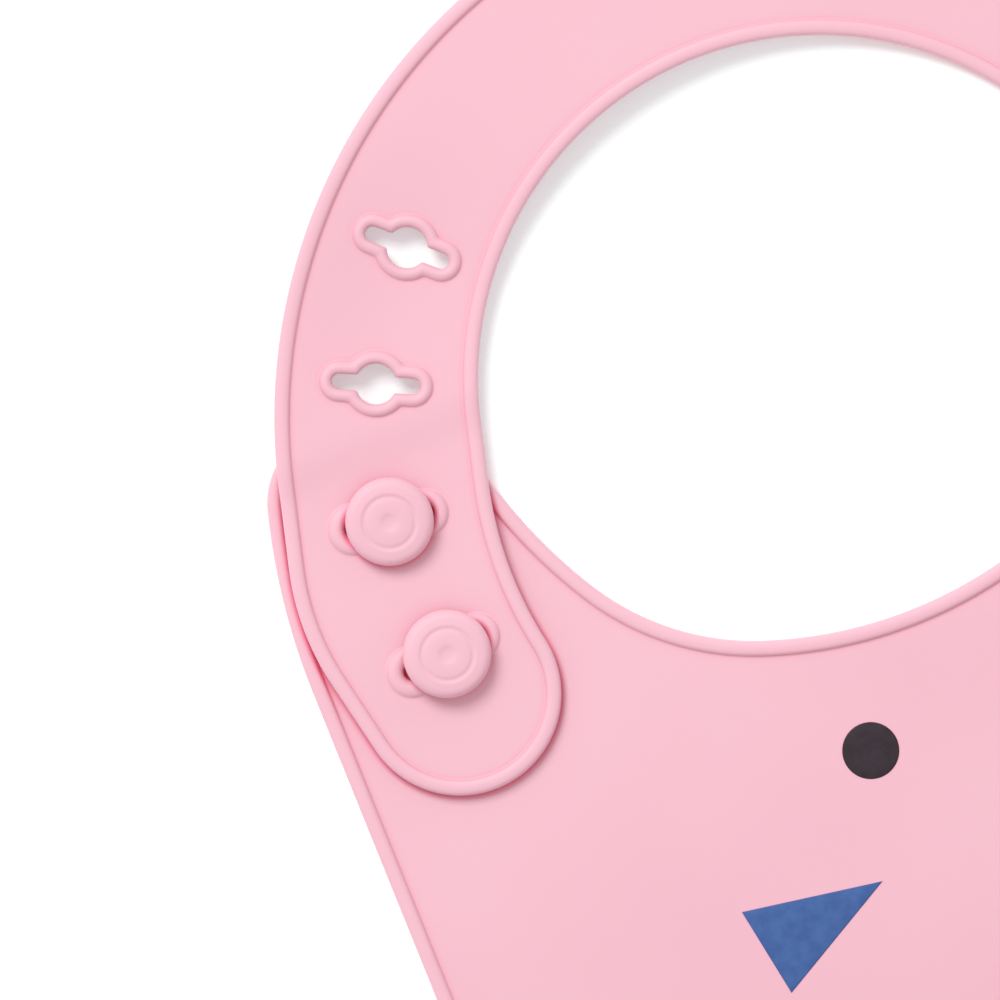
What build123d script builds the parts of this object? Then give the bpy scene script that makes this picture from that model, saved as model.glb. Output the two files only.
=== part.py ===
from build123d import *

import os
from math import asin, atan2, cos, degrees, hypot, radians, sin

# Silicone baby bib lying flat on its back, with its neck strap buttoned at the left shoulder.
#
# Millimetres. +Z is up out of the sheet, +Y runs from the pocket to the neck, and x = 0 is the
# line of symmetry of the body. The shape is drawn about the middle of the neck opening and
# moved at the end, so that the origin is at the middle of the whole bib's underside.

# ---- driving dimensions -------------------------------------------------------------------
sheet_t = 1.4          # silicone sheet
rim_w = 2.7            # raised bead that runs round every edge
rim_t = 2.2            # height of that bead, from the back face

body_w = 196.0         # width across the straight sides
body_drop = 218.0      # neck middle to the bottom edge
side_top_y = -26.0     # where the straight sides end, under the shoulders
corner_r, corner_turn = 50.0, 80.0   # bottom corners; one large arc makes the bottom edge

strap_y = -14.0        # middle of the circle that the strap's outer edge lies on
strap_outer_r = 93.5
strap_pitch_r = 76.8   # circle that the open keyholes lie on
neck_inner_y, neck_inner_r = -7.0, 57.0   # circle of the strap's inner edge

neck_low_y = -48.4     # lowest point of the neckline
neck_low_r, neck_low_turn = 74.0, 20.0
neck_corner_r, neck_corner_turn = 44.0, 40.0   # left corner of the neckline
neck_side_r, neck_side_turn = 89.0, 16.0
tab_end_r = 24.0       # inner part of the button tab's rounded end
side_lean = 16.0       # how far the top of the left side leans in

tail_in_lean, tail_in_line = 15.0, 10.0        # tail's inner edge: leans out, then curves back
tail_in_r, tail_in_turn = 64.0, 25.5
tail_end_r = 16.9                              # rounded end of the tail
tail_out_lean, tail_out_line, tail_out_r = 11.5, 13.0, 45.0   # tail's outer edge, going up
strap_z = 2.8          # underside of the strap where it lies over the button tab
tail_tip_z, tail_low_y = 1.75, -50.0   # underside of the strap at the tip of its tail
hump_z = 4.6           # underside of the strap where it bows up behind the neck
hump_x, climb_x, landing_x = -2.0, 16.0, -22.0   # where the strap bows up, leaves and lands
hump_r = 60.0

hole_r, slot_r, slot_reach = 3.4, 1.3, 6.1   # keyhole: round part, slot ends, slot half length
keyhole_rim_w, keyhole_rim_t = 2.1, 2.2      # raised ring round each keyhole
keyhole_angles = [136.5, 153.9]              # open keyholes, round the strap's circle
button_xy = [(-75.4, -2.2), (-74.8, -26.1)]
button_turns = [8.6, 0.0]                    # how the keyholes under the buttons are turned

stem_r, cap_r = 2.8, 7.35
cap_z, cap_t = 5.2, 3.4                      # underside and thickness of a button's cap
cap_round, cap_under_round = 1.3, 0.6
ring_r, ring_w, ring_deep = 4.3, 0.7, 0.25   # plain ring pressed into the top of each cap
dimple_r = 1.3

yoke_y = -76.0         # where the neck part bends up, away from the chest
fold_y = -128.0        # where the belly folds up over the chest
bend_angles = [30.0, 70.0, 116.0, 160.0]     # living bends of the strap
bend_gap = 0.3         # keeps neighbouring lengths apart, so that they can turn
tab_y = -40.0          # foot of the button tab

pocket_inset, wall_t = 3.0, 2.0              # pocket wall stands inside the rim
pocket_h, pocket_round = 36.0, 30.0
lip_mid_y, lip_side_y = -153.0, -143.0       # curved lip, in plan
lip_band, lip_bead = 3.2, 0.7                # width of the bead along the lip, and how proud it is
lip_lift = 1.1                               # the lip's bead starts above the panel's rim

ink_t = 0.15           # printed ink
dot_r = 4.75
dots = [(-15.5, -67.6), (27.0, -66.0), (3.0, -98.0), (-5.0, -118.0), (-56.0, -115.0)]
triangle_side, triangle_tip = 24.0, 38.4     # equal sides, and the angle between them
triangles = [(-21.8, -88.5, 9.6), (29.0, -92.0, 128.0), (71.0, -84.0, 75.0), (-66.0, -121.0, -10.0)]

# ---- derived dimensions -------------------------------------------------------------------
half_w = body_w / 2
top_y = strap_y + strap_outer_r
neck_y = (body_drop - top_y) / 2       # moves the neck middle to where the origin wants it
rise = side_top_y - strap_y
side_r = (half_w**2 + rise**2 - strap_outer_r**2) / (2 * (half_w - strap_outer_r))
shoulder_turn = degrees(atan2(-rise, side_r - half_w))
corner_dx = corner_r * (1 - cos(radians(corner_turn)))
bottom_r = (half_w - corner_dx) / cos(radians(corner_turn))
corner_dy = corner_r * sin(radians(corner_turn)) + bottom_r * (1 - sin(radians(corner_turn)))
side_foot_y = corner_dy - body_drop
BIG = 400.0


def polar(middle_y, radius, angle):
    """A point on a circle round (0, middle_y)."""
    return (radius * cos(radians(angle)), middle_y + radius * sin(radians(angle)))


def direction(heading):
    return (cos(radians(heading)), sin(radians(heading)))


class Pen:
    """Draws a chain of lines and tangent arcs. A positive turn is to the left."""

    def __init__(self, start, heading):
        self.at = start
        self.heading = heading
        self.edges = []

    def to(self, end):
        self.edges.append(Line(self.at, end))
        self.at = end
        return self

    def line(self, length):
        ahead = direction(self.heading)
        return self.to((self.at[0] + length * ahead[0], self.at[1] + length * ahead[1]))

    def middle(self, radius, side):
        """Centre of a tangent arc to the left, side = 1, or the right, side = -1."""
        ahead = direction(self.heading)
        return (self.at[0] - side * radius * ahead[1], self.at[1] + side * radius * ahead[0])

    def arc(self, radius, turn):
        side = 1 if turn > 0 else -1
        middle = self.middle(radius, side)

        def reach(part):
            x, y = direction(self.heading - side * 90 + turn * part)
            return (middle[0] + radius * x, middle[1] + radius * y)

        self.edges.append(ThreePointArc(self.at, reach(0.5), reach(1)))
        self.at = reach(1)
        self.heading += turn
        return self

    def face(self):
        return make_face(self.edges)


# ---- outlines -----------------------------------------------------------------------------
def lower_side(pen):
    """From the foot of a straight side round a bottom corner to the middle of the bottom."""
    side = 1 if pen.at[0] < 0 else -1
    return pen.arc(corner_r, side * corner_turn).arc(bottom_r, side * (90 - corner_turn))


def left_half():
    """Left half of the body with the button tab, closed along x = 0."""
    pen = Pen((0, neck_low_y), 180)
    pen.arc(neck_low_r, -neck_low_turn)
    pen.arc(neck_corner_r, -neck_corner_turn)
    pen.arc(neck_side_r, -neck_side_turn)
    pen.arc(tab_end_r, 180 - pen.heading)
    side_dx = side_r * (1 - cos(radians(side_lean)))
    pen.arc((half_w - side_dx + pen.at[0]) / cos(radians(side_lean)), 90 - side_lean)
    pen.arc(side_r, side_lean)
    pen.to((-half_w, side_foot_y))
    lower_side(pen)
    return pen.to((0, neck_low_y)).face()


def right_half():
    """Right half of the body with the whole neck strap, closed along x = 0."""
    pen = Pen((0, neck_low_y), 0).arc(neck_low_r, neck_low_turn)
    # the corner's radius that ends tangent to the strap's inner circle
    ahead = direction(neck_low_turn)
    dx, dy = pen.at[0], pen.at[1] - neck_inner_y
    spare = neck_inner_r**2 - dx**2 - dy**2
    corner = spare / (2 * (neck_inner_r - dx * ahead[1] + dy * ahead[0]))
    meets = degrees(atan2(dy + corner * ahead[0], dx - corner * ahead[1]))
    pen.arc(corner, 90 + meets - neck_low_turn)
    pen.arc(neck_inner_r, 180 - tail_in_lean - meets)
    pen.line(tail_in_line).arc(tail_in_r, tail_in_turn)
    pen.arc(tail_end_r, 90 + tail_out_lean - pen.heading).line(tail_out_line)
    # the outer edge bulges, then runs straight until it is tangent to the strap's circle
    x, y = pen.middle(tail_out_r, -1)
    heading = degrees(asin((strap_outer_r - tail_out_r) / hypot(x, strap_y - y)))
    heading += degrees(atan2(strap_y - y, -x))
    pen.arc(tail_out_r, heading - pen.heading)
    pen.to(polar(strap_y, strap_outer_r, heading + 90))
    pen.arc(strap_outer_r, shoulder_turn - heading - 90).arc(side_r, -shoulder_turn)
    pen.to((half_w, side_foot_y))
    lower_side(pen)
    return pen.to((0, neck_low_y)).face()


def wedge(start, end):
    """A sector round the strap's middle, from one angle to another."""
    steps = [start + (end - start) * k / 4 for k in range(5)]
    return make_face(Polyline((0, strap_y), *[polar(strap_y, BIG, a) for a in steps], close=True))


def bend_slit(angle):
    """The thin gap at a living bend, across the strap."""
    return Pos(0, strap_y) * Rot(0, 0, angle) * Pos(BIG / 2, 0) * Rectangle(BIG, bend_gap)


def band(face):
    """The strip along a face's edge that the raised bead covers."""
    return face - offset(face, amount=-rim_w, kind=Kind.ARC)


def slab(low_y, high_y):
    """Everything between two heights of the page."""
    return Pos(0, (low_y + high_y) / 2) * Rectangle(2 * BIG, high_y - low_y)


def plate(sheet, rim):
    """A sheet with its raised bead, standing on z = 0."""
    return extrude(sheet, sheet_t) + extrude(rim, rim_t)


# ---- body ---------------------------------------------------------------------------------
left, right = left_half(), right_half()
body = left + (right & wedge(-100, bend_angles[0] + 25))
body_rim = band(body)
tab_zone = Pos(-BIG / 2, tab_y + BIG / 2) * Rectangle(BIG, BIG)


def panel(zone):
    """The part of the body inside a zone of the page."""
    return plate(body & zone, body_rim & zone)


def neck_panel():
    past_strap = wedge(bend_angles[0], bend_angles[0] + 40) + bend_slit(bend_angles[0])
    return panel(slab(yoke_y + bend_gap / 2, BIG) - past_strap - tab_zone)


# ---- strap --------------------------------------------------------------------------------
strap_rim = band(right)


def keyhole():
    """A round hole with a slot through its middle, along x."""
    return Circle(hole_r) + SlotCenterToCenter(2 * slot_reach, 2 * slot_r)


def keyhole_ring():
    """The raised ring round a keyhole."""
    outside = Circle(hole_r + keyhole_rim_w)
    outside += SlotCenterToCenter(2 * slot_reach, 2 * (slot_r + keyhole_rim_w))
    return outside - keyhole()


def strap_zone(start, end):
    """The stretch of the page between two bends of the strap, less half of each bend's gap."""
    return wedge(start, end) - bend_slit(start) - bend_slit(min(end, bend_angles[-1]))


def strap_piece(start, end, holes=()):
    """A flat length of strap between two bends, with keyholes at the places given."""
    zone = strap_zone(start, end)
    solid = plate(right & zone, strap_rim & zone)
    for place in holes:
        solid += place * extrude(keyhole_ring(), keyhole_rim_t)
        solid -= place * extrude(keyhole(), 3 * rim_t, both=True)
    return solid


def arched(thickness):
    """A curved layer that climbs from the table, bows up and comes down to the strap's height."""
    knots = [(BIG, 0), (climb_x, 0), (hump_x, hump_z), (landing_x, strap_z), (-BIG, strap_z)]
    under = FilletPolyline(*knots, radius=hump_r)
    over = Pos(0, thickness) * under
    ends = [Line((x, z), (x, z + thickness)) for x, z in (knots[0], knots[-1])]
    layer = make_face([*under.edges(), *over.edges(), *ends])
    return Rot(90, 0, 0) * extrude(layer, BIG, both=True)


def strap_back():
    zone = strap_zone(bend_angles[1], bend_angles[2])
    tall = 2 * (hump_z + rim_t)
    sheet = extrude(right & zone, tall) & arched(sheet_t)
    return sheet + (extrude(strap_rim & zone, tall) & arched(rim_t))


def strap_side():
    """The length with the open keyholes, whose slots run across the strap."""
    holes = [
        Pos(*polar(strap_y, strap_pitch_r, angle), 0) * Rot(0, 0, angle)
        for angle in keyhole_angles
    ]
    return Pos(0, 0, strap_z) * strap_piece(bend_angles[2], bend_angles[3], holes)


def strap_tail():
    """The buttoned end. It slopes down a little, from the button tab onto the chest."""
    holes = [
        Pos(x, y, 0) * Rot(0, 0, 180 - turn)
        for (x, y), turn in zip(button_xy, button_turns)
    ]
    flat = strap_piece(bend_angles[3], 270, holes)
    _, bend_y = polar(strap_y, strap_pitch_r, bend_angles[3])
    slope = degrees(asin((strap_z - tail_tip_z) / (bend_y - tail_low_y)))
    return Pos(0, bend_y, strap_z) * Rot(slope, 0, 0) * Pos(0, -bend_y, 0) * flat


# ---- buttons ------------------------------------------------------------------------------
def button(x, y):
    """A mushroom button: a stem, and a soft round cap with a plain pressed ring."""
    stem = Pos(0, 0, sheet_t) * extrude(Circle(stem_r), cap_z - sheet_t)
    cap = Pos(0, 0, cap_z) * extrude(Circle(cap_r), cap_t)
    cap = fillet(cap.edges().sort_by(Axis.Z)[-1], cap_round)
    cap = fillet(cap.edges().filter_by(GeomType.CIRCLE).sort_by(Axis.Z)[0], cap_under_round)
    groove = Circle(ring_r + ring_w / 2) - Circle(ring_r - ring_w / 2) + Circle(dimple_r)
    mark = Pos(0, 0, cap_z + cap_t - ring_deep) * extrude(groove, 2 * ring_deep)
    return Pos(x, y, 0) * (stem + cap - mark)


# ---- pocket -------------------------------------------------------------------------------
def dome(inset, height, rounding):
    """The closed form of the pocket, drawn in from the body's edge by inset."""
    top = lip_side_y + 40
    whole = offset(body & slab(-BIG, top + 20), amount=-inset, kind=Kind.ARC)
    solid = extrude(whole & slab(-BIG, top), height)
    crown = solid.edges().filter_by_position(Axis.Z, height, height)
    return fillet([e for e in crown if e.center().Y < top - 1], rounding)


def beyond_lip(shift):
    """Everything on the neck side of the pocket's curved lip."""
    sag = lip_side_y - lip_mid_y
    lip_r = (half_w**2 + sag**2) / (2 * sag)
    return Pos(0, lip_mid_y + lip_r + shift) * extrude(Circle(lip_r), 2 * pocket_h)


def pocket():
    def above(z):
        return Pos(0, 0, z + BIG / 2) * Box(2 * BIG, 2 * BIG, BIG)

    outer = dome(pocket_inset, pocket_h, pocket_round)
    inner = dome(pocket_inset + wall_t, pocket_h - wall_t, pocket_round - wall_t)
    fat = dome(pocket_inset - lip_bead, pocket_h + lip_bead, pocket_round + lip_bead)
    bead = fat & beyond_lip(-lip_band) & above(sheet_t + lip_lift)
    return ((outer & above(sheet_t)) + bead) - inner - beyond_lip(0)


# ---- print --------------------------------------------------------------------------------
def dot(x, y):
    return Pos(x, y, sheet_t) * extrude(Circle(dot_r), ink_t)


def triangle(x, y, heading):
    """A triangle whose sharp tip is at (x, y) and points along heading."""
    feet = [
        (triangle_side * cos(radians(a)), triangle_side * sin(radians(a)))
        for a in (heading + 180 - triangle_tip / 2, heading + 180 + triangle_tip / 2)
    ]
    return Pos(x, y, sheet_t) * extrude(make_face(Polyline((0, 0), *feet, close=True)), ink_t)


# ---- write --------------------------------------------------------------------------------
nodes = {
    "neck_panel": neck_panel(),
    "button_tab": panel(tab_zone),
    "chest_panel": panel(slab(fold_y + bend_gap / 2, yoke_y - bend_gap / 2)),
    "belly_panel": panel(slab(-BIG, fold_y - bend_gap / 2)),
    "pocket": pocket(),
    "strap_shoulder": strap_piece(bend_angles[0], bend_angles[1]),
    "strap_back": strap_back(),
    "strap_side": strap_side(),
    "strap_tail": strap_tail(),
    "button_upper": button(*button_xy[0]),
    "button_lower": button(*button_xy[1]),
}
for k, place in enumerate(dots):
    nodes[f"print_dot_{k + 1}"] = dot(*place)
for k, place in enumerate(triangles):
    nodes[f"print_triangle_{k + 1}"] = triangle(*place)

os.makedirs("parts", exist_ok=True)
for name, shape in nodes.items():
    export_step(Pos(0, neck_y, 0) * shape, f"parts/{name}.step")
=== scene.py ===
from math import asin, atan2, ceil, cos, degrees, hypot, pi, radians, sin

import bmesh
import bpy
import numpy as np
from mathutils import Matrix, Vector
from mathutils.geometry import delaunay_2d_cdt
from mathutils.kdtree import KDTree


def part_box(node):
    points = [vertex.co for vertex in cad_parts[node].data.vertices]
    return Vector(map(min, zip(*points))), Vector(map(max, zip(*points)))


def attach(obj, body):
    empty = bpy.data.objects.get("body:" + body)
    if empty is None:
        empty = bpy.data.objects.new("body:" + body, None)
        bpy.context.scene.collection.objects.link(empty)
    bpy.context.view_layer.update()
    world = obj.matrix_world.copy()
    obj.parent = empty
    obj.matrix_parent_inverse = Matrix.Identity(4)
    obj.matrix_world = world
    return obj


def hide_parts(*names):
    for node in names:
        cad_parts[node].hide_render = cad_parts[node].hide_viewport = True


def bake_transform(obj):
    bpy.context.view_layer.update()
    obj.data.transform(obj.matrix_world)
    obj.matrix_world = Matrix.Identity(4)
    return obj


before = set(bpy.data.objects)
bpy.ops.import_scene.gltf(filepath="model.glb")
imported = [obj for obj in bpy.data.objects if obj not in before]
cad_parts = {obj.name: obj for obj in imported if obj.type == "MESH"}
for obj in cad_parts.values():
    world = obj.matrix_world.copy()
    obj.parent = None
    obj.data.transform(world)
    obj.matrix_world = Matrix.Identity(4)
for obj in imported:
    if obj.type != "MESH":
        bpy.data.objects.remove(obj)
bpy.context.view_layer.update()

# A silicone bib lying on its back with its strap buttoned. Lengths are in millimetres about the
# middle of the neck opening, as the bib was designed, until a mesh is made: see to_frame.
MM = 0.001

# ---- the design's driving dimensions --------------------------------------------------------
SHEET_T = 1.4
HALF_W, BODY_DROP = 98.0, 218.0
SIDE_TOP_Y = -26.0
CORNER_R, CORNER_TURN = 50.0, 80.0
STRAP_Y, STRAP_OUTER_R, STRAP_PITCH_R = -14.0, 93.5, 76.8
NECK_INNER_Y, NECK_INNER_R = -7.0, 57.0
NECK_LOW_Y, NECK_LOW_R, NECK_LOW_TURN = -48.4, 74.0, 20.0
NECK_CORNER_R, NECK_CORNER_TURN = 44.0, 40.0
NECK_SIDE_R, NECK_SIDE_TURN = 89.0, 16.0
TAB_END_R, SIDE_LEAN = 24.0, 16.0
TAIL_IN_LEAN, TAIL_IN_LINE, TAIL_IN_R, TAIL_IN_TURN = 15.0, 10.0, 64.0, 25.5
TAIL_END_R = 16.9
TAIL_OUT_LEAN, TAIL_OUT_LINE, TAIL_OUT_R = 11.5, 13.0, 45.0
STRAP_Z, TAIL_TIP_Z, TAIL_LOW_Y = 2.8, 1.75, -50.0     # the strap's back over the tab, and its tip
TAIL_EASE, TAIL_MOST = 0.02, 1.2                        # how softly the tail starts down, how far
HUMP_Z, HUMP_X = 4.2, -14.0                             # the strap's arch behind the neck
CLIMB_X, LANDING_X = 56.0, -48.0                        # where the arch starts and ends
STEP_Z, STEP_LOW_Y, STEP_LENGTH = 0.7, 5.5, 8.0         # where the strap comes down onto the tab
SETTLE_Z, SETTLE_XY, SETTLE_SIZE = 1.5, (-61, 33), 15   # where it sags beyond the tab
BODY_WAVE_Z, STRAP_WAVE_Z = 0.25, 0.22                  # how wavy the sheet lies
STRAP_FADE, FREE_LOW_Y, FREE_LENGTH = 60.0, -45.0, 35.0     # where the strap's waves fade in
HOLE_R, SLOT_R, SLOT_REACH, HOLE_SOFT = 3.4, 1.3, 6.1, 0.45
KEYHOLE_ANGLES = [136.5, 153.9]
BUTTON_XY = [(-75.4, -2.2), (-74.8, -26.1)]
BUTTON_HOLES = [(-75.4, -2.2, 171.4), (-75.2, -26.1, 187.0)]     # pulled a little off the stems
PULLED_OPEN = 0.2                # how much the buttons stretch their keyholes
BEAD_WIDE, BEAD_WIDEST = 1.12, 1.36     # and how much wider the keyholes' beads become
STEM_R, CAP_R, CAP_Z, CAP_T = 2.8, 7.35, 5.2, 3.4
CAP_TILTS = [(4.5, -1.5), (3.5, 1.0)]   # the strap's pull leans the caps, in degrees about x and y
YOKE_Y, YOKE_BEND_LENGTH = -76.0, 22.0
BEND_ANGLES = [30.0, 70.0, 116.0, 160.0]
POCKET_INSET, WALL_T, POCKET_H, POCKET_ROUND = 3.0, 2.0, 36.0, 30.0
CROWN_Z, CROWN_X = 1.5, 75.0            # how much and how far across the pocket's top is domed
CROWN_LOW_Z, CROWN_RISE = 20.0, 16.0    # and over which heights the dome grows
# distance in from the wall and height, where the pocket's two skins flare onto the sheet
OUTER_FOOT = [(-0.75, 1.2), (-0.6, 1.95), (-0.3, 2.5), (-0.08, 3.2), (0.0, 4.4)]
INNER_FOOT = [(1.3, 1.2), (0.85, 1.6), (0.35, 2.2), (0.08, 3.2), (0.0, 4.4)]
LIP_MID_Y, LIP_SIDE_Y = -153.0, -143.0
LIP_BAND, LIP_BEAD, LIP_EDGE = 3.2, 0.7, 0.9
DOT_R, TRIANGLE_SIDE, TRIANGLE_TIP = 4.75, 24.0, 38.4
DOTS = [(-15.5, -67.6), (27.0, -66.0), (3.0, -98.0), (-5.0, -118.0), (-56.0, -115.0)]
TRIANGLES = [
    (-21.8, -88.5, 9.6), (29.0, -92.0, 128.0), (71.0, -84.0, 75.0), (-66.0, -121.0, -10.0),
]
BLACK_PRINT = ["print_dot_1", "print_dot_3", "print_dot_5", "print_triangle_3"]

# distance in from the edge, height of the front and of the back
RIM_PROFILE = [
    (0.00, 1.05, 0.50), (0.08, 1.52, 0.20), (0.30, 1.88, 0.05), (0.70, 2.07, 0.00),
    (1.20, 2.14, 0.00), (1.70, 2.13, 0.00), (2.05, 2.06, 0.00), (2.30, 1.91, 0.00),
    (2.48, 1.66, 0.00), (2.58, 1.46, 0.00), (2.72, 1.35, 0.00), (2.95, 1.36, 0.00),
    (3.60, 1.40, 0.00),
]
KEYHOLE_PROFILE = [
    (0.00, 1.30, 0.25), (0.12, 1.72, 0.08), (0.40, 2.04, 0.00), (0.85, 2.20, 0.00),
    (1.25, 2.18, 0.00), (1.62, 2.02, 0.00), (1.92, 1.74, 0.00), (2.08, 1.47, 0.00),
    (2.18, 1.37, 0.00), (2.45, 1.38, 0.00), (3.00, 1.40, 0.00),
]
# share of a printed shape's size, height above the sheet
INK_PROFILE = [(1, -0.15), (1, 0.02), (0.99, 0.09), (0.96, 0.12), (0.7, 0.12), (0.35, 0.12)]

EDGE_STEP = 1.1        # spacing of points along an edge
GRID_STEP = 2.4        # spacing of points inside the sheet
LOOP_STEPS = 132       # points round a keyhole
GRID_CLEAR = 0.62      # how near an edge they may come, as a share of that spacing
SLIVER = 0.002         # twice the area below which a triangle is a sliver
SEAM_Y = -98.0         # where the upper and lower panel meet
SEAM_ANGLES = [14.0, 52.0, 95.0, 127.0]    # where the lengths of strap meet
SEAM_REACH = 9.0       # how far round a seam its cut looks for faces
FINE_STEP, COARSE_STEP, FINE_REACH = 0.45, 2.6, 6.0     # spacing of points over the pocket
HALF_ROW, TOP_ROW = 150.0, 45.0        # its rough lengths: half way round, and shoulder to lip
PAINTED_GLOW_STRENGTH = 0.10            # painted glow: red emission in the deepest creases, standing in for light that soaks through the silicone

# where the neck's middle is in the frame: the CAD puts the buttons there
_button_low, _button_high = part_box("button_upper")
NECK_Y = (_button_low[1] + _button_high[1]) / 2 / MM - BUTTON_XY[0][1]


def to_frame(x, y, z):
    """A point of the design, in the frame's metres."""
    return (x * MM, (y + NECK_Y) * MM, z * MM)


# ---- outlines -------------------------------------------------------------------------------
class Pen:
    """Walks along lines and tangent arcs and keeps points with the normals that point inwards."""

    def __init__(self, start, heading, inside):
        self.at, self.heading, self.inside = np.array(start, float), heading, inside
        self.points, self.normals = [self.at], [self.inward()]

    def ahead(self):
        return np.array([cos(radians(self.heading)), sin(radians(self.heading))])

    def inward(self):
        a = self.ahead()
        return self.inside * np.array([-a[1], a[0]])

    def keep(self):
        self.points.append(self.at)
        self.normals.append(self.inward())

    def line(self, length):
        steps = ceil(length / EDGE_STEP)
        start, ahead = self.at, self.ahead()
        for k in range(steps):
            self.at = start + ahead * length * (k + 1) / steps
            self.keep()
        return self

    def line_to(self, end):
        return self.line(float(np.linalg.norm(np.array(end) - self.at)))

    def middle(self, radius, side):
        a = self.ahead()
        return self.at + side * radius * np.array([-a[1], a[0]])

    def arc(self, radius, turn):
        side = 1 if turn > 0 else -1
        middle = self.middle(radius, side)
        steps = ceil(abs(radians(turn)) * radius / EDGE_STEP)
        start = self.heading
        for k in range(steps):
            self.heading = start + turn * (k + 1) / steps
            a = self.ahead()
            self.at = middle - side * radius * np.array([-a[1], a[0]])
            self.keep()
        return self

    def chain(self):
        """The points and normals, with both ends exactly on the middle line."""
        points, normals = np.array(self.points), np.array(self.normals)
        points[[0, -1], 0] = 0
        normals[[0, -1], 0] = 0
        return points, normals


corner_dx = CORNER_R * (1 - cos(radians(CORNER_TURN)))
BOTTOM_R = (HALF_W - corner_dx) / cos(radians(CORNER_TURN))
SIDE_FOOT_Y = (
    CORNER_R * sin(radians(CORNER_TURN)) + BOTTOM_R * (1 - sin(radians(CORNER_TURN))) - BODY_DROP
)
rise = SIDE_TOP_Y - STRAP_Y
SIDE_R = (HALF_W**2 + rise**2 - STRAP_OUTER_R**2) / (2 * (HALF_W - STRAP_OUTER_R))
SHOULDER_TURN = degrees(atan2(-rise, SIDE_R - HALF_W))


def polar(radius, angle):
    """A point round the strap's middle."""
    return np.array([radius * cos(radians(angle)), STRAP_Y + radius * sin(radians(angle))])


def lower_side(pen):
    side = 1 if pen.at[0] < 0 else -1
    return pen.arc(CORNER_R, side * CORNER_TURN).arc(BOTTOM_R, side * (90 - CORNER_TURN))


def left_chain():
    """Edge of the body's left half: neckline, button tab, side and bottom."""
    pen = Pen((0, NECK_LOW_Y), 180, 1)
    pen.arc(NECK_LOW_R, -NECK_LOW_TURN)
    pen.arc(NECK_CORNER_R, -NECK_CORNER_TURN)
    pen.arc(NECK_SIDE_R, -NECK_SIDE_TURN)
    pen.arc(TAB_END_R, 180 - pen.heading)
    side_dx = SIDE_R * (1 - cos(radians(SIDE_LEAN)))
    pen.arc((HALF_W - side_dx + pen.at[0]) / cos(radians(SIDE_LEAN)), 90 - SIDE_LEAN)
    pen.arc(SIDE_R, SIDE_LEAN)
    pen.line_to((-HALF_W, SIDE_FOOT_Y))
    return lower_side(pen).chain()


def right_chain():
    """Edge of the body's right half with the whole strap: neckline, tail, outer edge, bottom."""
    pen = Pen((0, NECK_LOW_Y), 0, -1).arc(NECK_LOW_R, NECK_LOW_TURN)
    ahead = pen.ahead()
    dx, dy = pen.at[0], pen.at[1] - NECK_INNER_Y
    spare = NECK_INNER_R**2 - dx**2 - dy**2
    corner = spare / (2 * (NECK_INNER_R - dx * ahead[1] + dy * ahead[0]))
    meets = degrees(atan2(dy + corner * ahead[0], dx - corner * ahead[1]))
    pen.arc(corner, 90 + meets - NECK_LOW_TURN)
    pen.arc(NECK_INNER_R, 180 - TAIL_IN_LEAN - meets)
    pen.line(TAIL_IN_LINE).arc(TAIL_IN_R, TAIL_IN_TURN)
    pen.arc(TAIL_END_R, 90 + TAIL_OUT_LEAN - pen.heading).line(TAIL_OUT_LINE)
    x, y = pen.middle(TAIL_OUT_R, -1)
    heading = degrees(asin((STRAP_OUTER_R - TAIL_OUT_R) / hypot(x, STRAP_Y - y)))
    heading += degrees(atan2(STRAP_Y - y, -x))
    pen.arc(TAIL_OUT_R, heading - pen.heading)
    pen.line_to(polar(STRAP_OUTER_R, heading + 90))
    pen.arc(STRAP_OUTER_R, SHOULDER_TURN - heading - 90).arc(SIDE_R, -SHOULDER_TURN)
    pen.line_to((HALF_W, SIDE_FOOT_Y))
    return lower_side(pen).chain()


def keyhole_loop(place, turn, grow):
    """A closed loop round a keyhole, grown by a distance, with softened inner corners."""
    angles = 2 * pi * np.arange(LOOP_STEPS) / LOOP_STEPS
    half, reach = SLOT_R + grow, SLOT_REACH
    c, s = np.abs(np.cos(angles)), np.abs(np.sin(angles))
    end = reach * c + np.sqrt(np.maximum(half**2 - (reach * s) ** 2, 0))
    side = half / np.maximum(s, 1e-9)
    slot = np.where(side * c > reach, end, side)
    ball = np.zeros(LOOP_STEPS) + HOLE_R + grow
    gap = np.maximum(HOLE_SOFT - np.abs(slot - ball), 0) / HOLE_SOFT
    radius = np.maximum(slot, ball) + gap**2 * HOLE_SOFT / 4
    a = angles + radians(turn)
    return np.column_stack([place[0] + radius * np.cos(a), place[1] + radius * np.sin(a)])


def inside(points, polygon):
    """Which points lie inside a polygon."""
    x, y = points[:, 0, None], points[:, 1, None]
    x1, y1 = polygon[:, 0], polygon[:, 1]
    x2, y2 = np.roll(x1, -1), np.roll(y1, -1)
    spans = (y1 > y) != (y2 > y)
    rise_y = np.where(y2 == y1, 1e-12, y2 - y1)
    return (spans & (x < (x2 - x1) * (y - y1) / rise_y + x1)).sum(1) % 2 == 1


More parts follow.
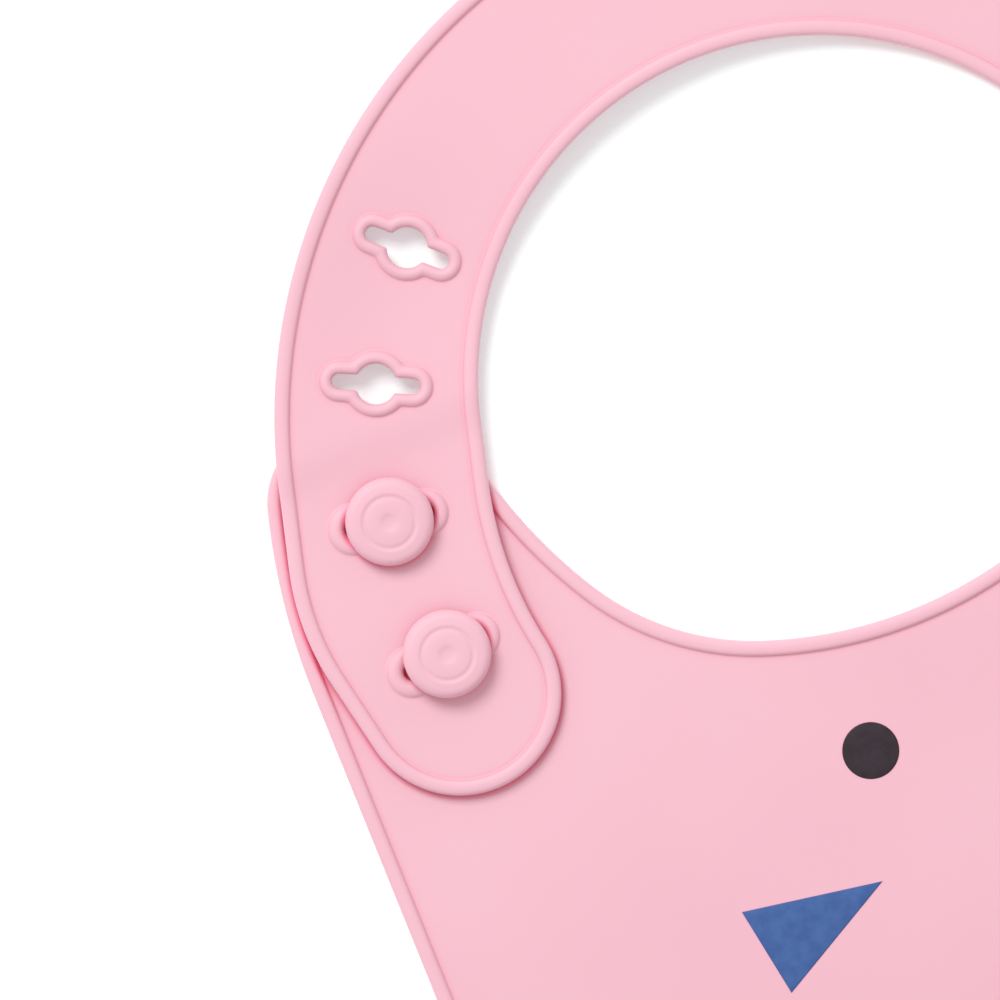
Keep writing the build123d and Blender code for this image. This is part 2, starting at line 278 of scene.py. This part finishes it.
# ---- sheets ---------------------------------------------------------------------------------
class Sheet:
    """A flat plan of points, each with a front and a back height, and faces seen from the front."""

    def __init__(self):
        self.xy, self.top, self.bottom = [], [], []
        self.faces, self.walls = [], []

    def add(self, points, top, bottom):
        first = len(self.xy)
        self.xy += [tuple(p) for p in points]
        self.top += [top] * len(points)
        self.bottom += [bottom] * len(points)
        return list(range(first, len(self.xy)))

    def strip(self, loops, profile, closed, flip):
        """Quads between neighbouring loops. The first loop is the free edge."""
        rows = [self.add(p, top, bottom) for p, (_, top, bottom) in zip(loops, profile)]
        count = len(rows[0]) if closed else len(rows[0]) - 1
        for a, b in zip(rows, rows[1:]):
            for k in range(count):
                m = (k + 1) % len(a)
                quad = (a[k], a[m], b[m], b[k])
                self.faces.append(quad[::-1] if flip else quad)
        for k in range(count):
            m = (k + 1) % len(rows[0])
            pair = (rows[0][k], rows[0][m])
            self.walls.append(pair[::-1] if flip else pair)
        return rows[-1]

    def fill(self, border, holes):
        """Triangles inside a border of points that are already there, round the holes."""
        xy = np.array(self.xy)
        outline = xy[border]
        low, high = outline.min(0), outline.max(0)
        rows = np.arange(low[1], high[1], GRID_STEP * 0.866)
        grid = [
            (x + (k % 2) * GRID_STEP / 2, y)
            for k, y in enumerate(rows)
            for x in np.arange(low[0], high[0], GRID_STEP)
        ]
        grid = np.array(grid)
        grid = grid[inside(grid, outline)]
        for hole in holes:
            grid = grid[~inside(grid, xy[hole])]
        fixed = border + [i for hole in holes for i in hole]
        tree = KDTree(len(fixed))
        for i, index in enumerate(fixed):
            tree.insert((*xy[index], 0), i)
        tree.balance()
        clear = [tree.find((x, y, 0))[2] > GRID_CLEAR * GRID_STEP for x, y in grid]
        inner = self.add(grid[clear], SHEET_T, 0.0)
        known = fixed + inner
        place = {index: i for i, index in enumerate(known)}
        edges = [
            (place[loop[k]], place[loop[(k + 1) % len(loop)]])
            for loop in [border, *holes]
            for k in range(len(loop))
        ]
        xy = np.array(self.xy)
        points = [Vector(xy[index]) for index in known]
        _, _, made, ids, _, _ = delaunay_2d_cdt(points, edges, [], 0, 1e-7)
        tris = [[known[ids[v][0]] for v in f] for f in made if all(ids[v] for v in f)]
        middles = xy[np.array(tris)].mean(1)
        good = inside(middles, outline)
        for hole in holes:
            good &= ~inside(middles, xy[hole])
        for keep, (a, b, c) in zip(good, tris):
            turn = np.cross(xy[b] - xy[a], xy[c] - xy[a])
            if keep and abs(turn) > SLIVER:
                self.faces.append((a, b, c) if turn > 0 else (a, c, b))

    def mesh(self, height):
        """Front and back skins joined along the free edges, raised by a function of place."""
        bm = bmesh.new()
        lift = [height(x, y) for x, y in self.xy]

        def skin(heights):
            places = zip(self.xy, heights, lift)
            return [bm.verts.new(to_frame(x, y, z + up)) for (x, y), z, up in places]

        front, back = skin(self.top), skin(self.bottom)
        for face in self.faces:
            bm.faces.new([front[i] for i in face])
            bm.faces.new([back[i] for i in reversed(face)])
        for a, b in self.walls:
            bm.faces.new([back[a], back[b], front[b], front[a]])
        return bm


def pulled_loop(place, turn, distance):
    """A keyhole loop with a button in it: a little larger, and wider where it points outwards."""
    outward = np.clip(np.cos(2 * pi * np.arange(LOOP_STEPS) / LOOP_STEPS), 0, 1)
    wide = BEAD_WIDE + (BEAD_WIDEST - BEAD_WIDE) * outward
    return keyhole_loop(place, turn, PULLED_OPEN + distance * wide)


def half_sheet(chain, flip, keyholes=()):
    """One half of the sheet, open along the middle line, with its bead and its keyholes."""
    points, normals = chain
    sheet = Sheet()
    loops = [points + d * normals for d, _, _ in RIM_PROFILE]
    inner = sheet.strip(loops, RIM_PROFILE, False, flip)
    holes = []
    for place, turn in keyholes:
        loop = pulled_loop if place[1] < 0 else keyhole_loop
        rings = [loop(place, turn, d) for d, _, _ in KEYHOLE_PROFILE]
        holes.append(sheet.strip(rings, KEYHOLE_PROFILE, True, True))
    high, low = sheet.xy[inner[0]][1], sheet.xy[inner[-1]][1]
    steps = round((high - low) / GRID_STEP)
    cut = [(0, low + (high - low) * k / steps) for k in range(1, steps)]
    sheet.fill(inner + sheet.add(cut, SHEET_T, 0.0), holes)
    return sheet


# ---- how the sheet lies ---------------------------------------------------------------------
def ease(t):
    t = min(1.0, max(0.0, t))
    return t * t * (3 - 2 * t)


def bump_at(x, y, place, size):
    return np.exp(-((x - place[0]) ** 2 + (y - place[1]) ** 2) / (2 * size**2))


def lie_body(x, y):
    """The body's slight waviness on the table."""
    wave = 0.5 + 0.25 * sin(x / 27 + 0.6) * cos(y / 33 + 0.4) + 0.25 * sin((x + y) / 41 + 2.0)
    return BODY_WAVE_Z * wave


TAIL_BEND_Y = polar(STRAP_PITCH_R, BEND_ANGLES[-1])[1]


def lie_strap(x, y):
    """The strap climbs off the table behind the neck and lies over the button tab."""
    if x >= 0 and y < 0:
        return lie_body(x, y)
    low = STRAP_Z + STEP_Z * ease((y - STEP_LOW_Y) / STEP_LENGTH)
    if x > HUMP_X:
        base = HUMP_Z * ease((CLIMB_X - x) / (CLIMB_X - HUMP_X))
    else:
        base = low + (HUMP_Z - low) * ease((x - LANDING_X) / (HUMP_X - LANDING_X))
    if x < LANDING_X:
        drop = (TAIL_BEND_Y - y) / (TAIL_BEND_Y - TAIL_LOW_Y)
        soft = 0.5 * (drop + np.sqrt(drop**2 + TAIL_EASE))
        base -= (STRAP_Z - TAIL_TIP_Z) * min(TAIL_MOST, soft)
    base -= SETTLE_Z * bump_at(x, y, SETTLE_XY, SETTLE_SIZE)
    side = ease((CLIMB_X - x) / STRAP_FADE)
    free = ease((y - FREE_LOW_Y) / FREE_LENGTH)
    base += side * free * STRAP_WAVE_Z * (sin(y / 13 + 0.4) * cos(x / 17) + 1)
    return base + (1 - side) * lie_body(x, y)


# ---- pieces ---------------------------------------------------------------------------------
def new_object(name, bm, material, smooth=True):
    mesh = bpy.data.meshes.new(name)
    bm.to_mesh(mesh)
    bm.free()
    mesh.materials.append(material)
    for polygon in mesh.polygons:
        polygon.use_smooth = smooth
    piece = bpy.data.objects.new(name, mesh)
    bpy.context.scene.collection.objects.link(piece)
    return piece


def cut(bm, point, normal, where):
    """Adds an edge line where a plane crosses the faces chosen by where(x, y)."""
    chosen = {
        f
        for f in bm.faces
        if where(f.calc_center_median().x / MM, f.calc_center_median().y / MM - NECK_Y)
    }
    edges = {e for f in chosen for e in f.edges}
    verts = {v for f in chosen for v in f.verts}
    bmesh.ops.bisect_plane(
        bm,
        geom=[*verts, *edges, *chosen],
        plane_co=to_frame(*point, 0),
        plane_no=(*normal, 0),
        dist=1e-7,
    )


def turned(x, y):
    """Angle of a place round the strap's middle, from -90 to 270 degrees."""
    angle = degrees(atan2(y - STRAP_Y, x))
    return angle if angle >= -90 else angle + 360


def split(bm, sort):
    """Copies of a mesh, one for each name that sort(x, y, strap) gives its faces."""
    layer = bm.faces.layers.int["strap"]
    named = {}
    for f in bm.faces:
        c = f.calc_center_median()
        named.setdefault(sort(c.x / MM, c.y / MM - NECK_Y, f[layer]), []).append(f.index)
    out = {}
    for name, keep in named.items():
        part, keep = bm.copy(), set(keep)
        part.faces.ensure_lookup_table()
        drop = [f for f in part.faces if f.index not in keep]
        bmesh.ops.delete(part, geom=drop, context="FACES")
        out[name] = part
    return out


def whole_sheet():
    """The body and the strap as one skin."""
    keyholes = [(polar(STRAP_PITCH_R, a), a) for a in KEYHOLE_ANGLES]
    keyholes += [((x, y), turn) for x, y, turn in BUTTON_HOLES]
    left = half_sheet(left_chain(), False).mesh(lie_body)
    right = half_sheet(right_chain(), True, keyholes).mesh(lie_strap)
    joined = bpy.data.meshes.new("sheet")
    bm = bmesh.new()
    layer = bm.faces.layers.int.new("strap")
    for half, mark in ((left, 0), (right, 1)):
        half.to_mesh(joined)
        half.free()
        before = len(bm.faces)
        bm.from_mesh(joined)
        bm.faces.ensure_lookup_table()
        for f in bm.faces[before:]:
            f[layer] = mark
    bpy.data.meshes.remove(joined)
    low = to_frame(0, NECK_LOW_Y, 0)[1] + MM
    middle = [v for v in bm.verts if abs(v.co.x) < 1e-7 and v.co.y < low]
    bmesh.ops.remove_doubles(bm, verts=middle, dist=1e-6)
    cut(bm, (0, SEAM_Y), (0, 1), lambda x, y: abs(y - SEAM_Y) < SEAM_REACH)
    for angle in SEAM_ANGLES:
        normal = (-sin(radians(angle)), cos(radians(angle)))

        def near(x, y):
            return abs(turned(x, y) - angle) < SEAM_REACH and y > -10

        cut(bm, (0, STRAP_Y), normal, near)
    bm.faces.index_update()
    return bm


def sort_faces(x, y, strap):
    """The name of the piece that a face belongs to."""
    if strap and y > -60:
        angle = turned(x, y)
        passed = sum(angle > a for a in SEAM_ANGLES)
        if passed and not (x >= 0 and y < -20):
            return f"strap_length_{passed}"
    return "panel_upper" if y > SEAM_Y else "panel_lower"


STRAP_NODES = ["strap_shoulder", "strap_back", "strap_side", "strap_tail"]


def make_sheet(silicone):
    """The body in two pieces and the strap in four."""
    for name, part in split(whole_sheet(), sort_faces).items():
        piece = new_object(name, part, silicone)
        if name == "panel_upper":
            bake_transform(piece)
            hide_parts("neck_panel", "button_tab", "chest_panel")
        elif name == "panel_lower":
            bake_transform(piece)
            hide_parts("belly_panel")
        else:
            k = int(name[-1]) - 1
            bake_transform(piece)
            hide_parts(STRAP_NODES[k])


def lathe(profile, steps=96):
    """A closed skin of revolution about the vertical; the profile starts and ends on it."""
    bm = bmesh.new()
    rings = []
    for r, z in profile:
        if r < 1e-6:
            rings.append([bm.verts.new((0, 0, z * MM))])
            continue
        angles = [2 * pi * k / steps for k in range(steps)]
        rings.append([bm.verts.new((r * cos(a) * MM, r * sin(a) * MM, z * MM)) for a in angles])
    for low, high in zip(rings, rings[1:]):
        for k in range(steps):
            pairs = [(low, k), (low, (k + 1) % steps), (high, (k + 1) % steps), (high, k)]
            corners = [ring[i % len(ring)] for ring, i in pairs]
            bm.faces.new(list(dict.fromkeys(corners)))
    return bm


def round_corner(centre, radius, start, end, steps=7):
    """Points round a corner of a profile."""
    return [
        (centre[0] + radius * cos(radians(a)), centre[1] + radius * sin(radians(a)))
        for a in np.linspace(start, end, steps)
    ]


def button_profile():
    """Stem, underside, rounded side and slightly domed top with a plain ring and a dimple."""
    top, under = CAP_Z + CAP_T, CAP_Z
    points = [(0, SHEET_T - 0.6), (STEM_R + 0.5, SHEET_T - 0.6), (STEM_R + 0.5, SHEET_T + 0.3)]
    points += [(STEM_R + 0.15, SHEET_T + 0.6), (STEM_R, SHEET_T + 1.1), (STEM_R, under - 0.5)]
    points += [(STEM_R + 0.15, under - 0.12), (STEM_R + 0.5, under)]
    points += round_corner((CAP_R - 0.8, under + 0.8), 0.8, -90, 0)
    points += round_corner((CAP_R - 1.7, top - 2.1), 1.7, 0, 84, 12)
    dome = [(5.25, 0.02), (4.95, 0.06), (4.72, 0.03), (4.52, -0.06), (4.3, -0.09), (4.08, -0.05)]
    dome += [(3.88, 0.05), (3.6, 0.11), (2.6, 0.16), (1.8, 0.17), (1.5, 0.13), (1.2, 0.03)]
    dome += [(0.85, -0.04), (0.45, -0.07), (0, -0.08)]
    return points + [(r, top - 0.35 + z) for r, z in dome]


def lean(bm, tilt):
    """Tips the part above the strap about the stem, and bends the stem to match."""
    turn = Matrix.Rotation(radians(tilt[0]), 3, "X") @ Matrix.Rotation(radians(tilt[1]), 3, "Y")
    for v in bm.verts:
        share = ease((v.co.z / MM - SHEET_T - 0.6) / (CAP_Z - SHEET_T - 1.0))
        pivot = Vector((0, 0, (CAP_Z + 0.3) * MM))
        v.co = v.co.lerp(pivot + turn @ (v.co - pivot), share)


def make_buttons(silicone):
    for name, (x, y), tilt in zip(("button_upper", "button_lower"), BUTTON_XY, CAP_TILTS):
        bm = lathe(button_profile())
        lean(bm, tilt)
        bmesh.ops.translate(bm, verts=bm.verts, vec=to_frame(x, y, 0))
        piece = new_object(f"{name}_cap_and_stem", bm, silicone)
        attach(piece, "yoke")
        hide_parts(name)


# ---- pocket ---------------------------------------------------------------------------------
LIP_SAG = LIP_SIDE_Y - LIP_MID_Y
LIP_R = (HALF_W**2 + LIP_SAG**2) / (2 * LIP_SAG)


def behind_lip(points):
    """How far places lie behind the pocket's curved lip, in plan."""
    return np.hypot(points[..., 0], points[..., 1] - LIP_MID_Y - LIP_R) - LIP_R


def spaced(length):
    """Shares from 0 to 1 of a length, close together at the start."""
    near = np.arange(0, min(FINE_REACH, length / 2), FINE_STEP)
    steps = max(3, ceil((length - near[-1]) / COARSE_STEP))
    far = np.linspace(near[-1] + FINE_STEP, length, steps)
    return np.concatenate([near, far]) / length


def outline_behind_lip(inset, places):
    """The bottom half of the body's edge, drawn in, from the lip to the middle line."""
    points, normals = left_chain()
    low = points[:, 1] < LIP_SIDE_Y + 15
    points = (points + inset * normals)[low]
    behind = behind_lip(points)
    k = int(np.argmax(behind > 0))
    share = -behind[k - 1] / (behind[k] - behind[k - 1])
    start = points[k - 1] + share * (points[k] - points[k - 1])
    line = np.vstack([start, points[k:]])
    along = np.concatenate([[0], np.cumsum(np.linalg.norm(np.diff(line, axis=0), axis=1))])
    at = places * along[-1]
    return np.column_stack([np.interp(at, along, line[:, 0]), np.interp(at, along, line[:, 1])])


def wall_section(inset, rounding, top, foot):
    """Inset and height up the pocket's wall and over its shoulder."""
    section = [(inset + d, z) for d, z in foot]
    for angle in np.linspace(0, 90, 16):
        drawn_in = rounding * (1 - cos(radians(angle)))
        section.append((inset + drawn_in, top - rounding * (1 - sin(radians(angle)))))
    return section


def pocket_skin(inset, rounding, top, foot, bead):
    """Rows of points from the wall's foot to the lip, and the lip's bead pushed outwards."""
    section = wall_section(inset, rounding, top, foot)
    half = spaced(HALF_ROW)
    rows = []
    for drawn_in, height in section:
        line = outline_behind_lip(drawn_in, half)
        line = np.vstack([line, line[-2::-1] * [-1, 1]])
        rows.append(np.column_stack([line, np.full(len(line), height)]))
    last = rows[-1]
    turn = np.arcsin(last[0, 0] / LIP_R)
    swing = np.linspace(turn, -turn, len(last))
    lip = np.column_stack([LIP_R * np.sin(swing), LIP_MID_Y + LIP_R - LIP_R * np.cos(swing)])
    lip = np.column_stack([lip, np.full(len(lip), top)])
    reach = 1 - spaced(TOP_ROW)[::-1]
    rows += [last + (lip - last) * t for t in reach[1:]]
    grid = np.array(rows)
    high = np.clip((grid[:, :, 2] - CROWN_LOW_Z) / CROWN_RISE, 0, 1)
    across = np.cos(np.clip(grid[:, :, 0] / CROWN_X, -1, 1) * pi / 2)
    grid[:, :, 2] += CROWN_Z * high**2 * across
    return grid + bead * lip_push(grid)


def grid_normals(grid):
    """Directions at right angles to a grid of points."""
    across = np.gradient(grid, axis=1)
    up = np.gradient(grid, axis=0)
    normals = np.cross(up, across)
    size = np.linalg.norm(normals, axis=2, keepdims=True)
    normals = normals / np.where(size < 1e-9, 1, size)
    return np.where(size < 1e-9, [0, 0, 1.0], normals)


def lip_push(grid):
    """Outward push of the bead along the lip: none at the foot, and rounded off at the edge."""
    behind = np.clip(behind_lip(grid[:, :, :2]), 0, None)
    swell = np.clip((LIP_BAND - behind) / 0.7, 0, 1)
    swell = swell * swell * (3 - 2 * swell) * np.clip((grid[:, :, 2] - 2) / 1.5, 0, 1)
    edge = np.clip(behind / LIP_EDGE, 0, 1)
    swell *= 0.35 + 0.65 * np.sqrt(1 - (1 - edge) ** 2)
    normals = grid_normals(grid)
    normals *= np.where((normals * [0, 0, 1]).sum(2, keepdims=True) < -0.2, -1, 1)
    return normals * swell[:, :, None]


def pocket_mesh():
    """An outer and an inner skin, joined all round: along the foot, up the sides and at the lip."""
    outer = pocket_skin(POCKET_INSET, POCKET_ROUND, POCKET_H, OUTER_FOOT, LIP_BEAD)
    inner = pocket_skin(
        POCKET_INSET + WALL_T, POCKET_ROUND - WALL_T, POCKET_H - WALL_T, INNER_FOOT, 0.0
    )
    bm = bmesh.new()
    skins = []
    for grid in (outer, inner):
        skins.append([[bm.verts.new(to_frame(*p)) for p in row] for row in grid])
    for side, skin in enumerate(skins):
        for low, high in zip(skin, skin[1:]):
            for k in range(len(low) - 1):
                quad = [low[k], low[k + 1], high[k + 1], high[k]]
                bm.faces.new(quad[::-1] if side else quad)
    out, inn = skins
    rows, last = len(out), len(out[0]) - 1
    rim = [(r, 0) for r in range(rows)] + [(rows - 1, k) for k in range(1, last)]
    rim += [(r, last) for r in reversed(range(rows))]
    rim += [(0, k) for k in reversed(range(1, last))]
    for (a, b), (c, d) in zip(rim, rim[1:] + rim[:1]):
        bm.faces.new([out[c][d], out[a][b], inn[a][b], inn[c][d]])
    bmesh.ops.remove_doubles(bm, verts=bm.verts, dist=1e-6)
    bmesh.ops.dissolve_degenerate(bm, edges=bm.edges, dist=1e-7)
    bmesh.ops.recalc_face_normals(bm, faces=bm.faces)
    return bm


def make_pocket(silicone):
    piece = new_object("pocket_wall_and_lip", pocket_mesh(), silicone)
    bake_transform(piece)
    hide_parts("pocket")


# ---- print ----------------------------------------------------------------------------------
def ink_mesh(outline, middle):
    """A thin printed patch that follows the sheet, thinner at its edge."""
    bm = bmesh.new()

    def corner(x, y, height):
        return bm.verts.new(to_frame(x, y, SHEET_T + lie_body(x, y) + height))

    rings = []
    for scale, height in INK_PROFILE:
        ring = middle + (outline - middle) * scale
        rings.append([corner(x, y, height) for x, y in ring])
    for low, high in zip(rings, rings[1:]):
        for k in range(len(low)):
            m = (k + 1) % len(low)
            bm.faces.new([low[k], low[m], high[m], high[k]])
    top = corner(*middle, INK_PROFILE[-1][1])
    under = corner(*middle, INK_PROFILE[0][1])
    for k in range(len(outline)):
        m = (k + 1) % len(outline)
        bm.faces.new([rings[-1][k], rings[-1][m], top])
        bm.faces.new([rings[0][m], rings[0][k], under])
    return bm


def dot_outline(x, y):
    angles = 2 * pi * np.arange(72) / 72
    return np.column_stack([x + DOT_R * np.cos(angles), y + DOT_R * np.sin(angles)])


def triangle_outline(x, y, heading):
    feet = [
        (x + TRIANGLE_SIDE * cos(radians(a)), y + TRIANGLE_SIDE * sin(radians(a)))
        for a in (heading + 180 - TRIANGLE_TIP / 2, heading + 180 + TRIANGLE_TIP / 2)
    ]
    corners = np.array([(x, y), *feet])
    steps = 16
    sides = zip(corners, np.roll(corners, -1, 0))
    return np.array([a + (b - a) * k / steps for a, b in sides for k in range(steps)])


def make_print(black, blue):
    outlines = {f"print_dot_{k + 1}": dot_outline(*place) for k, place in enumerate(DOTS)}
    outlines |= {
        f"print_triangle_{k + 1}": triangle_outline(*place) for k, place in enumerate(TRIANGLES)
    }
    for node, outline in outlines.items():
        dark = node in BLACK_PRINT
        middle = outline.mean(0)
        piece = new_object(f"{node}_ink", ink_mesh(outline, middle), black if dark else blue)
        if middle[1] > YOKE_Y:
            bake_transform(piece)
        else:
            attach(piece, "chest")
        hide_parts(node)


# ---- materials ------------------------------------------------------------------------------
PINK_DEEP, PINK_PALE = (0.775, 0.438, 0.512), (0.800, 0.472, 0.545)
# painted shade: rose for tight creases, crimson for the deepest hollows; and the red of a painted
# glow in those hollows
CREASE_SHADE_ROSE, DEEP_SHADE_CRIMSON, PAINTED_GLOW_RED = (0.76, 0.15, 0.27), (0.72, 0.06, 0.14), (0.90, 0.08, 0.20)
BLACK_DEEP, BLACK_PALE = (0.021, 0.013, 0.019), (0.030, 0.021, 0.028)
BLUE_DEEP, BLUE_PALE = (0.038, 0.100, 0.290), (0.052, 0.125, 0.340)


def new_material(name):
    material = bpy.data.materials.new(name)
    material.use_nodes = True
    nodes, links = material.node_tree.nodes, material.node_tree.links
    return material, nodes, links, nodes["Principled BSDF"]


def noise(nodes, links, coords, scale, detail=3.0):
    node = nodes.new("ShaderNodeTexNoise")
    node.inputs["Scale"].default_value = scale
    node.inputs["Detail"].default_value = detail
    links.new(coords.outputs["Object"], node.inputs["Vector"])
    return node


def occlusion(nodes, links, distance, shut, open_):
    """How open the surface is, from 0 where it is hemmed in to 1 in the clear: the mask for painted
    shade and a painted glow.
    """
    shade = nodes.new("ShaderNodeAmbientOcclusion")
    shade.inputs["Distance"].default_value = distance * MM
    shade.samples = 12
    curve = nodes.new("ShaderNodeMapRange")
    curve.inputs["From Min"].default_value = shut
    curve.inputs["From Max"].default_value = open_
    links.new(shade.outputs["AO"], curve.inputs["Value"])
    return curve.outputs["Result"]


def paint_shade(nodes, links, colour, openness, shade_colour):
    """Paints shade into a colour where the surface is hemmed in."""
    mix = nodes.new("ShaderNodeMix")
    mix.data_type = "RGBA"
    mix.inputs["A"].default_value = (*shade_colour, 1)
    links.new(openness, mix.inputs["Factor"])
    links.new(colour, mix.inputs["B"])
    return mix.outputs["Result"]


def silicone_material():
    """Soft matt pink silicone: powdery grain, faint mottling, painted rose and crimson shade in
    tight creases, and a painted red glow in the deepest.
    """
    material, nodes, links, shader = new_material("pink_silicone")
    coords = nodes.new("ShaderNodeTexCoord")
    tone = nodes.new("ShaderNodeValToRGB")
    tone.color_ramp.elements[0].position = 0.3
    tone.color_ramp.elements[0].color = (*PINK_DEEP, 1)
    tone.color_ramp.elements[1].position = 0.7
    tone.color_ramp.elements[1].color = (*PINK_PALE, 1)
    links.new(noise(nodes, links, coords, 14.0, 2.0).outputs["Fac"], tone.inputs["Fac"])
    # painted shade: ambient occlusion tints tight creases rose and the deepest hollows crimson
    crease_shade_mask = occlusion(nodes, links, 1.5, 0.50, 0.93)
    deep_shade_mask = occlusion(nodes, links, 3.2, 0.06, 0.68)
    colour = paint_shade(nodes, links, tone.outputs["Color"], crease_shade_mask, CREASE_SHADE_ROSE)
    colour = paint_shade(nodes, links, colour, deep_shade_mask, DEEP_SHADE_CRIMSON)
    links.new(colour, shader.inputs["Base Color"])
    # painted glow: red emission that grows where the painted shade is deepest
    painted_glow = nodes.new("ShaderNodeMapRange")
    painted_glow.inputs["To Min"].default_value = PAINTED_GLOW_STRENGTH
    painted_glow.inputs["To Max"].default_value = 0.0
    links.new(deep_shade_mask, painted_glow.inputs["Value"])
    links.new(painted_glow.outputs["Result"], shader.inputs["Emission Strength"])
    shader.inputs["Emission Color"].default_value = (*PAINTED_GLOW_RED, 1)
    grain = nodes.new("ShaderNodeBump")
    grain.inputs["Strength"].default_value = 0.25
    grain.inputs["Distance"].default_value = 0.04 * MM
    links.new(noise(nodes, links, coords, 1400.0).outputs["Fac"], grain.inputs["Height"])
    links.new(grain.outputs["Normal"], shader.inputs["Normal"])
    rough = nodes.new("ShaderNodeMapRange")
    rough.inputs["To Min"].default_value = 0.50
    rough.inputs["To Max"].default_value = 0.62
    links.new(noise(nodes, links, coords, 60.0).outputs["Fac"], rough.inputs["Value"])
    links.new(rough.outputs["Result"], shader.inputs["Roughness"])
    shader.inputs["Specular IOR Level"].default_value = 0.35
    shader.inputs["Sheen Weight"].default_value = 0.12
    shader.inputs["Sheen Roughness"].default_value = 0.5
    return material


def ink_material(name, dark, light):
    """Matt screen print, very slightly mottled."""
    material, nodes, links, shader = new_material(name)
    coords = nodes.new("ShaderNodeTexCoord")
    tone = nodes.new("ShaderNodeValToRGB")
    tone.color_ramp.elements[0].position = 0.35
    tone.color_ramp.elements[0].color = (*dark, 1)
    tone.color_ramp.elements[1].position = 0.65
    tone.color_ramp.elements[1].color = (*light, 1)
    links.new(noise(nodes, links, coords, 500.0).outputs["Fac"], tone.inputs["Fac"])
    links.new(tone.outputs["Color"], shader.inputs["Base Color"])
    grain = nodes.new("ShaderNodeBump")
    grain.inputs["Strength"].default_value = 0.3
    grain.inputs["Distance"].default_value = 0.03 * MM
    links.new(noise(nodes, links, coords, 1400.0).outputs["Fac"], grain.inputs["Height"])
    links.new(grain.outputs["Normal"], shader.inputs["Normal"])
    shader.inputs["Roughness"].default_value = 0.55
    shader.inputs["Specular IOR Level"].default_value = 0.3
    return material


def floor_material():
    """White paper that stays pale in the shade."""
    material, _, _, shader = new_material("floor_white")
    shader.inputs["Base Color"].default_value = (0.86, 0.92, 0.905, 1)
    shader.inputs["Roughness"].default_value = 0.8
    shader.inputs["Emission Color"].default_value = (0.92, 1, 1, 1)
    shader.inputs["Emission Strength"].default_value = 0.20
    return material


# ---- scene ----------------------------------------------------------------------------------
def make_floor():
    bm = bmesh.new()
    bmesh.ops.create_grid(bm, x_segments=1, y_segments=1, size=3.0)
    floor = new_object("floor", bm, floor_material(), smooth=False)
    floor.location.z = -0.2 * MM      # just clear of the sheet's back


def make_light(name, location, size, power):
    data = bpy.data.lights.new(name, "AREA")
    data.shape = "DISK"
    data.size = size
    data.energy = power
    data.color = (0.97, 1, 0.995)
    light = bpy.data.objects.new(name, data)
    light.location = location
    aim = Vector(to_frame(-57, -6, 0)) - light.location
    light.rotation_euler = aim.to_track_quat("-Z", "Y").to_euler()
    bpy.context.scene.collection.objects.link(light)


def make_lights():
    make_light("key", (-0.45, 1.9, 2.4), 1.5, 62.0)
    world = bpy.data.worlds.new("studio")
    world.use_nodes = True
    world.node_tree.nodes["Background"].inputs["Color"].default_value = (1, 0.94, 0.96, 1)
    world.node_tree.nodes["Background"].inputs["Strength"].default_value = 0.73
    bpy.context.scene.world = world
    bpy.context.scene.view_settings.view_transform = "Standard"


def make_camera():
    """Straight down on the buttoned shoulder, with the bib turned 22 degrees."""
    field, distance, roll = 166.7, 1100.0, 22.0
    data = bpy.data.cameras.new("camera")
    data.lens = data.sensor_width * distance / field
    data.clip_end = 10
    camera = bpy.data.objects.new("camera", data)
    up = Vector((sin(radians(roll)), cos(radians(roll)), 0))
    right = Vector((up.y, -up.x, 0))
    turn = Matrix((right, up, (0, 0, 1))).transposed()
    camera.matrix_world = Matrix.Translation(to_frame(-57.1, -5.8, distance)) @ turn.to_4x4()
    bpy.context.scene.collection.objects.link(camera)
    bpy.context.scene.camera = camera


silicone = silicone_material()
make_sheet(silicone)
make_buttons(silicone)
make_pocket(silicone)
black = ink_material("black_ink", BLACK_DEEP, BLACK_PALE)
blue = ink_material("blue_ink", BLUE_DEEP, BLUE_PALE)
make_print(black, blue)
make_floor()
make_lights()
make_camera()
